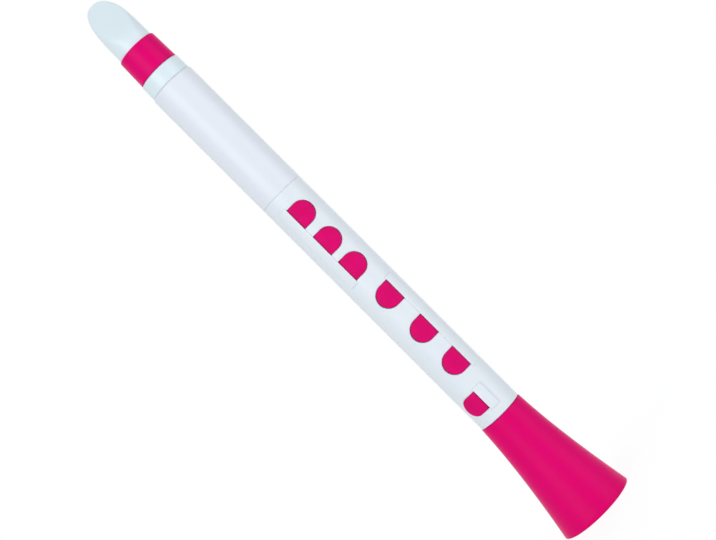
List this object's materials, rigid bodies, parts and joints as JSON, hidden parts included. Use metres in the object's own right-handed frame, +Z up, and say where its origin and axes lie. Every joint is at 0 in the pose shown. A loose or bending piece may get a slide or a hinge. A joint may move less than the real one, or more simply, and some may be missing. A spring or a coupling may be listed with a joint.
{
  "type": "plastic clarinet",
  "caption": "Straight plastic clarinet for beginners: white tube in push-fit sections, flared magenta bell, hinged magenta finger keys, beak mouthpiece with reed and ligature.",
  "frame": {"origin": "centre of the bell's rim, on the plane that the clarinet stands on", "axes": "+Z up the bore from the bell to the tip of the reed, -Y towards the finger keys, +Y towards the reed, the thumb key and the thumb rest"},
  "size_m": [0.0426, 0.0426, 0.357],
  "materials": {
    "white_plastic": "smooth moulded, soft gloss",
    "mouthpiece_plastic": "smooth moulded, gloss",
    "magenta_plastic": "smooth moulded, soft gloss",
    "magenta_silicone": "satin silicone",
    "reed_plastic": "matt, fine lengthwise grain",
    "seal_rubber": "dull black rubber"
  },
  "bodies": {
    "body": {"body_tube": "white_plastic", "thumb_rest": "white_plastic", "left_hand_hinge_strip": "magenta_silicone", "left_hand_key_rail": "white_plastic", "right_hand_hinge_strip": "magenta_silicone", "right_hand_key_rail": "white_plastic", "little_finger_hinge_strip": "magenta_silicone", "little_finger_key_rail": "white_plastic", "thumb_hinge_strip": "magenta_silicone", "thumb_key_rail": "white_plastic"},
    "left_index": {"left_index_key": "magenta_silicone"},
    "left_middle": {"left_middle_key": "magenta_silicone"},
    "left_ring": {"left_ring_key": "magenta_silicone"},
    "right_index": {"right_index_key": "magenta_silicone"},
    "right_middle": {"right_middle_key": "magenta_silicone"},
    "right_ring": {"right_ring_key": "magenta_silicone"},
    "right_little": {"right_little_key": "magenta_silicone"},
    "thumb": {"thumb_key": "magenta_silicone"},
    "lower_seal": {"lower_tenon_o_ring": "seal_rubber"},
    "bell_section": {"bell": "magenta_plastic"},
    "upper_seal": {"upper_tenon_o_ring": "seal_rubber"},
    "barrel_section": {"barrel": "white_plastic"},
    "mouthpiece_seal": {"mouthpiece_o_ring": "seal_rubber"},
    "mouthpiece_section": {"mouthpiece": "mouthpiece_plastic", "reed": "reed_plastic"},
    "ligature_band": {"ligature": "magenta_plastic"}
  },
  "joints": [
    {"name": "left_index_press", "type": "hinge", "parent": "body", "child": "left_index", "pos_m": [-0.00593, -0.01043, 0.2076], "axis": [0, 0, 1], "range_deg": [0, 9], "stiffness_Nm_per_rad": 0.015},
    {"name": "left_middle_press", "type": "hinge", "parent": "body", "child": "left_middle", "pos_m": [-0.00593, -0.01043, 0.1893], "axis": [0, 0, 1], "range_deg": [0, 9], "stiffness_Nm_per_rad": 0.015},
    {"name": "left_ring_press", "type": "hinge", "parent": "body", "child": "left_ring", "pos_m": [-0.00593, -0.01043, 0.1718], "axis": [0, 0, 1], "range_deg": [0, 9], "stiffness_Nm_per_rad": 0.015},
    {"name": "right_index_press", "type": "hinge", "parent": "body", "child": "right_index", "pos_m": [0.00593, -0.01043, 0.14895], "axis": [0, 0, -1], "range_deg": [0, 9], "stiffness_Nm_per_rad": 0.015},
    {"name": "right_middle_press", "type": "hinge", "parent": "body", "child": "right_middle", "pos_m": [0.00593, -0.01043, 0.12515], "axis": [0, 0, -1], "range_deg": [0, 9], "stiffness_Nm_per_rad": 0.015},
    {"name": "right_ring_press", "type": "hinge", "parent": "body", "child": "right_ring", "pos_m": [0.00593, -0.01043, 0.1028], "axis": [0, 0, -1], "range_deg": [0, 9], "stiffness_Nm_per_rad": 0.015},
    {"name": "right_little_press", "type": "hinge", "parent": "body", "child": "right_little", "pos_m": [-0.00216, -0.0118, 0.0804], "axis": [0, 0, -1], "range_deg": [0, 9], "stiffness_Nm_per_rad": 0.015},
    {"name": "thumb_press", "type": "hinge", "parent": "body", "child": "thumb", "pos_m": [-0.00593, 0.01043, 0.2082], "axis": [0, 0, -1], "range_deg": [0, 9], "stiffness_Nm_per_rad": 0.015},
    {"name": "bell_turn", "type": "hinge", "parent": "body", "child": "lower_seal", "pos_m": [0, 0, 0.0618], "axis": [0, 0, 1], "continuous": true},
    {"name": "bell_pull", "type": "slide", "parent": "lower_seal", "child": "bell_section", "axis": [0, 0, -1], "range_m": [0, 0.02]},
    {"name": "barrel_turn", "type": "hinge", "parent": "body", "child": "upper_seal", "pos_m": [0, 0, 0.229], "axis": [0, 0, 1], "continuous": true},
    {"name": "barrel_pull", "type": "slide", "parent": "upper_seal", "child": "barrel_section", "axis": [0, 0, 1], "range_m": [0, 0.02]},
    {"name": "mouthpiece_pull", "type": "slide", "parent": "barrel_section", "child": "mouthpiece_seal", "axis": [0, 0, 1], "range_m": [0, 0.02]},
    {"name": "mouthpiece_turn", "type": "hinge", "parent": "mouthpiece_seal", "child": "mouthpiece_section", "pos_m": [0, 0, 0.2938], "axis": [0, 0, 1], "continuous": true},
    {"name": "ligature_slide", "type": "slide", "parent": "mouthpiece_section", "child": "ligature_band", "axis": [0, 0, 1], "range_m": [0, 0.05]}
  ]
}
